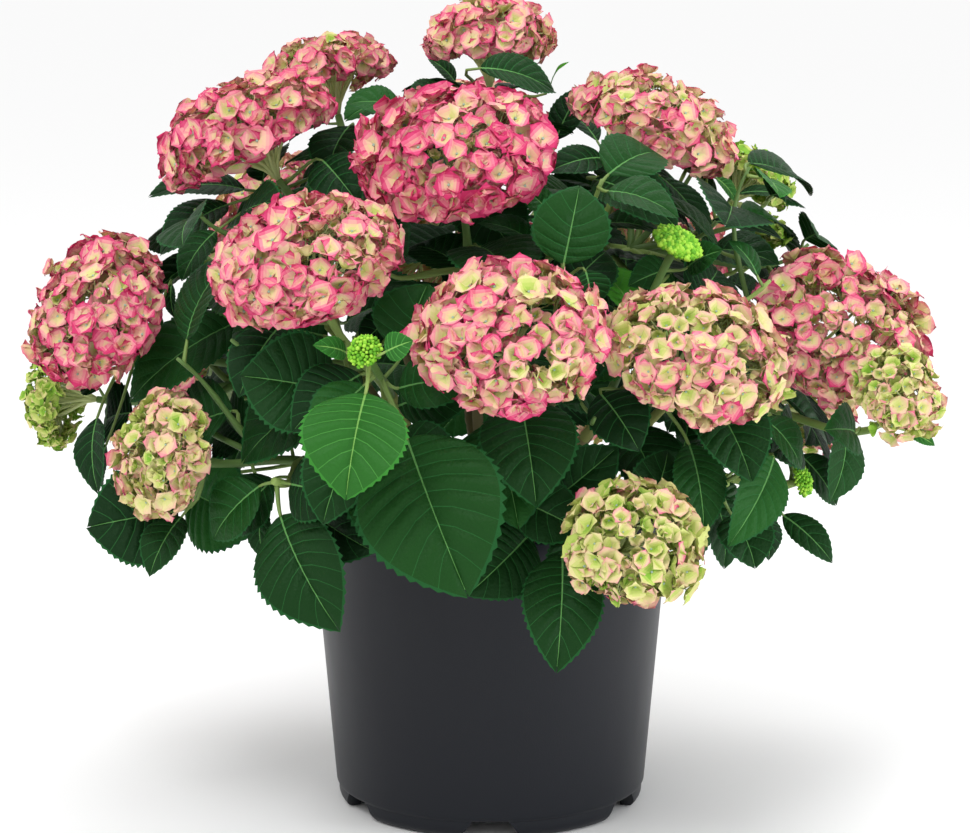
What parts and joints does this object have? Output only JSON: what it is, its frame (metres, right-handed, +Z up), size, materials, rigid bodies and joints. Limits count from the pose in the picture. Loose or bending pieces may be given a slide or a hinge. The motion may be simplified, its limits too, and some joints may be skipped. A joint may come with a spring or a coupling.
{
  "type": "hydrangea shrub in a nursery pot",
  "caption": "Mophead hydrangea shrub with domed pink and green flower heads over broad toothed leaves, growing in a round plastic nursery pot.",
  "frame": {"origin": "centre of the pot's flat underside, level with what it stands on", "axes": "+Z up the plant, -Y the plant's front, +X to its right seen from the front"},
  "size_m": [0.7172, 0.6794, 0.6484],
  "materials": {
    "pot": "satin moulded plastic",
    "soil": "moist bark potting mix",
    "cane": "bare young bark",
    "foliage": "slightly glossy leaf",
    "pink_blossom": "matt sepals, pink at the edge and pale green within",
    "green_blossom": "matt unripe sepals"
  },
  "bodies": {
    "root": {"pot": "pot", "soil": "soil", "cane_top": "cane", "leaves_top": "foliage", "bloom_top": "pink_blossom", "cane_upper_left": "cane", "leaves_upper_left": "foliage", "bloom_upper_left": "pink_blossom", "bloom_upper_left_back": "pink_blossom", "cane_centre_top": "cane", "leaves_centre_top": "foliage", "bloom_centre_top": "pink_blossom", "cane_upper_right": "cane", "leaves_upper_right": "foliage", "bloom_upper_right": "pink_blossom", "bloom_right_back": "green_blossom", "cane_left": "cane", "leaves_left": "foliage", "bloom_left": "pink_blossom", "bloom_left_low": "green_blossom", "cane_centre_left": "cane", "leaves_centre_left": "foliage", "bloom_centre_left": "pink_blossom", "cane_centre": "cane", "leaves_centre": "foliage", "bloom_centre": "pink_blossom", "cane_centre_right": "cane", "leaves_centre_right": "foliage", "bloom_centre_right": "pink_blossom", "cane_right": "cane", "leaves_right": "foliage", "bloom_right": "pink_blossom", "bloom_right_low": "green_blossom", "cane_lower_right": "cane", "leaves_lower_right": "foliage", "bloom_lower_right": "pink_blossom", "cane_lower_left": "cane", "leaves_lower_left": "foliage", "bloom_lower_left": "pink_blossom", "cane_right_skirt": "cane", "leaves_right_skirt": "foliage", "cane_back_left": "cane", "leaves_back_left": "foliage", "bloom_back_left": "pink_blossom", "bloom_back_low_left": "pink_blossom", "cane_back_top": "cane", "leaves_back_top": "foliage", "bloom_back_top": "pink_blossom", "cane_back_centre": "cane", "leaves_back_centre": "foliage", "bloom_back_centre": "pink_blossom", "bloom_back_low_centre": "pink_blossom", "cane_back_right": "cane", "leaves_back_right": "foliage", "bloom_back_right": "pink_blossom", "bloom_back_low_right": "pink_blossom"}
  },
  "joints": []
}
